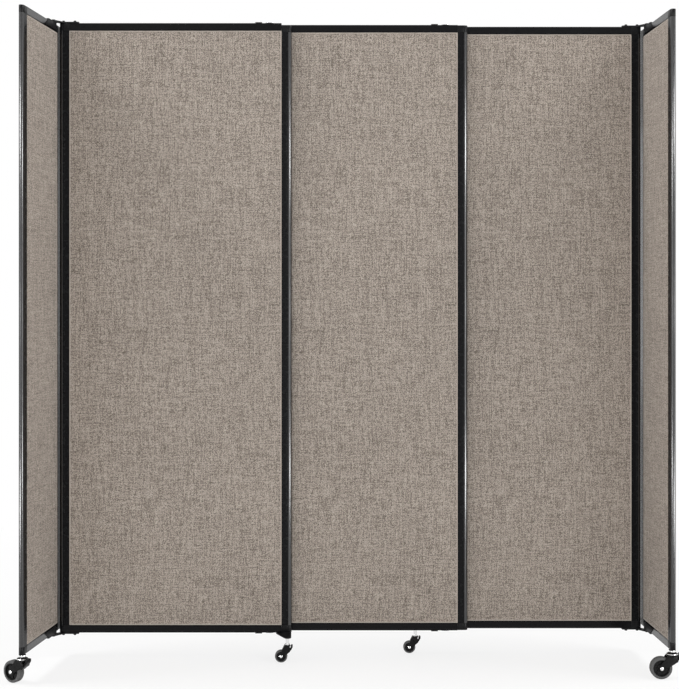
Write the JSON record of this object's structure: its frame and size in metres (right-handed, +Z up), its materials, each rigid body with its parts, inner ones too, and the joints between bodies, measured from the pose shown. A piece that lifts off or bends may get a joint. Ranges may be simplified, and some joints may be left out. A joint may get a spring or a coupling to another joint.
{
  "type": "sliding room divider",
  "caption": "Sliding privacy screen: staggered fabric panels in slim black frames that telescope along tracks, hinged end wings and locking swivel casters",
  "frame": {"origin": "middle of the screen's outline on the floor, in the extended pose with the wings open", "axes": "+X to the right along the panels, +Y to the back, away from the side that the wings swing to, +Z up"},
  "size_m": [2.2951, 0.4484, 2.2932],
  "materials": {
    "black_frame": "satin black coated extrusion",
    "black_fitting": "satin black coated steel plate",
    "taupe_fabric": "matt heather weave stretched over a board",
    "bright_steel": "bright plated",
    "caster_plastic": "matt moulded",
    "wheel_tread": "matt"
  },
  "bodies": {
    "left_panel": {"left_left_stile": "black_frame", "left_right_stile": "black_frame", "left_top_rail": "black_frame", "left_bottom_rail": "black_frame", "left_board": "taupe_fabric", "left_top_bracket": "black_fitting", "left_bottom_bracket": "black_fitting", "left_top_leaf": "black_fitting", "left_bottom_leaf": "black_fitting", "forward_arm": "black_fitting", "front_caster_stem": "bright_steel"},
    "middle_panel": {"middle_left_stile": "black_frame", "middle_right_stile": "black_frame", "middle_top_rail": "black_frame", "middle_bottom_rail": "black_frame", "middle_board": "taupe_fabric", "middle_left_top_bracket": "black_fitting", "middle_left_bottom_bracket": "black_fitting", "middle_right_top_bracket": "black_fitting", "middle_right_bottom_bracket": "black_fitting"},
    "right_panel": {"right_left_stile": "black_frame", "right_right_stile": "black_frame", "right_top_rail": "black_frame", "right_bottom_rail": "black_frame", "right_board": "taupe_fabric", "right_top_bracket": "black_fitting", "right_bottom_bracket": "black_fitting", "right_top_leaf": "black_fitting", "right_bottom_leaf": "black_fitting", "foot_plate": "black_fitting", "rear_caster_stem": "bright_steel"},
    "left_wing": {"left_wing_hinge_stile": "black_frame", "left_wing_outer_stile": "black_frame", "left_wing_top_rail": "black_frame", "left_wing_bottom_rail": "black_frame", "left_wing_board": "taupe_fabric", "left_wing_top_leaf": "black_fitting", "left_wing_bottom_leaf": "black_fitting", "left_wing_caster_stem": "bright_steel"},
    "right_wing": {"right_wing_hinge_stile": "black_frame", "right_wing_outer_stile": "black_frame", "right_wing_top_rail": "black_frame", "right_wing_bottom_rail": "black_frame", "right_wing_board": "taupe_fabric", "right_wing_top_leaf": "black_fitting", "right_wing_bottom_leaf": "black_fitting", "right_wing_caster_stem": "bright_steel"},
    "left_wing_caster_fork": {"left_wing_caster_fork": "caster_plastic"},
    "left_wing_caster_wheel": {"left_wing_caster_wheel": "wheel_tread"},
    "left_wing_caster_brake": {"left_wing_caster_brake": "caster_plastic"},
    "right_wing_caster_fork": {"right_wing_caster_fork": "caster_plastic"},
    "right_wing_caster_wheel": {"right_wing_caster_wheel": "wheel_tread"},
    "right_wing_caster_brake": {"right_wing_caster_brake": "caster_plastic"},
    "front_caster_fork": {"front_caster_fork": "caster_plastic"},
    "front_caster_wheel": {"front_caster_wheel": "wheel_tread"},
    "front_caster_brake": {"front_caster_brake": "caster_plastic"},
    "rear_caster_fork": {"rear_caster_fork": "caster_plastic"},
    "rear_caster_wheel": {"rear_caster_wheel": "wheel_tread"},
    "rear_caster_brake": {"rear_caster_brake": "caster_plastic"}
  },
  "joints": [
    {"name": "middle_slide", "type": "slide", "parent": "left_panel", "child": "middle_panel", "axis": [1, 0, 0], "range_m": [-0.56, 0.012]},
    {"name": "right_slide", "type": "slide", "parent": "middle_panel", "child": "right_panel", "axis": [1, 0, 0], "range_m": [-0.56, 0.012]},
    {"name": "left_wing_hinge", "type": "hinge", "parent": "left_panel", "child": "left_wing", "pos_m": [-1.03906, 0.1081, 1.19], "axis": [0, 0, 1], "range_deg": [-1.4, 97]},
    {"name": "right_wing_hinge", "type": "hinge", "parent": "right_panel", "child": "right_wing", "pos_m": [1.10295, 0.1721, 1.19], "axis": [0, 0, -1], "range_deg": [-5.7, 92.7]},
    {"name": "left_wing_caster_swivel", "type": "hinge", "parent": "left_wing", "child": "left_wing_caster_fork", "pos_m": [-1.077, -0.19655, 0.08], "axis": [0, 0, 1], "continuous": true},
    {"name": "left_wing_caster_spin", "type": "hinge", "parent": "left_wing_caster_fork", "child": "left_wing_caster_wheel", "pos_m": [-1.11043, -0.17646, 0.0375], "axis": [0.515, 0.8572, 0], "continuous": true},
    {"name": "left_wing_caster_pedal", "type": "hinge", "parent": "left_wing_caster_fork", "child": "left_wing_caster_brake", "pos_m": [-1.06757, -0.20221, 0.064], "axis": [0.515, 0.8572, 0], "range_deg": [0, 12]},
    {"name": "right_wing_caster_swivel", "type": "hinge", "parent": "right_wing", "child": "right_wing_caster_fork", "pos_m": [1.11794, -0.13453, 0.08], "axis": [0, 0, 1], "continuous": true},
    {"name": "right_wing_caster_spin", "type": "hinge", "parent": "right_wing_caster_fork", "child": "right_wing_caster_wheel", "pos_m": [1.07894, -0.13453, 0.0375], "axis": [0, 1, 0], "continuous": true},
    {"name": "right_wing_caster_pedal", "type": "hinge", "parent": "right_wing_caster_fork", "child": "right_wing_caster_brake", "pos_m": [1.12894, -0.13453, 0.064], "axis": [0, 1, 0], "range_deg": [0, 12]},
    {"name": "front_caster_swivel", "type": "hinge", "parent": "left_panel", "child": "front_caster_fork", "pos_m": [-0.19906, 0.0711, 0.058], "axis": [0, 0, 1], "continuous": true},
    {"name": "front_caster_spin", "type": "hinge", "parent": "front_caster_fork", "child": "front_caster_wheel", "pos_m": [-0.22106, 0.0711, 0.022], "axis": [0, 1, 0], "continuous": true},
    {"name": "front_caster_pedal", "type": "hinge", "parent": "front_caster_fork", "child": "front_caster_brake", "pos_m": [-0.19265, 0.0711, 0.042], "axis": [0, 1, 0], "range_deg": [0, 12]},
    {"name": "rear_caster_swivel", "type": "hinge", "parent": "right_panel", "child": "rear_caster_fork", "pos_m": [0.26294, 0.1971, 0.058], "axis": [0, 0, 1], "continuous": true},
    {"name": "rear_caster_spin", "type": "hinge", "parent": "rear_caster_fork", "child": "rear_caster_wheel", "pos_m": [0.24094, 0.1971, 0.022], "axis": [0, 1, 0], "continuous": true},
    {"name": "rear_caster_pedal", "type": "hinge", "parent": "rear_caster_fork", "child": "rear_caster_brake", "pos_m": [0.26935, 0.1971, 0.042], "axis": [0, 1, 0], "range_deg": [0, 12]}
  ]
}
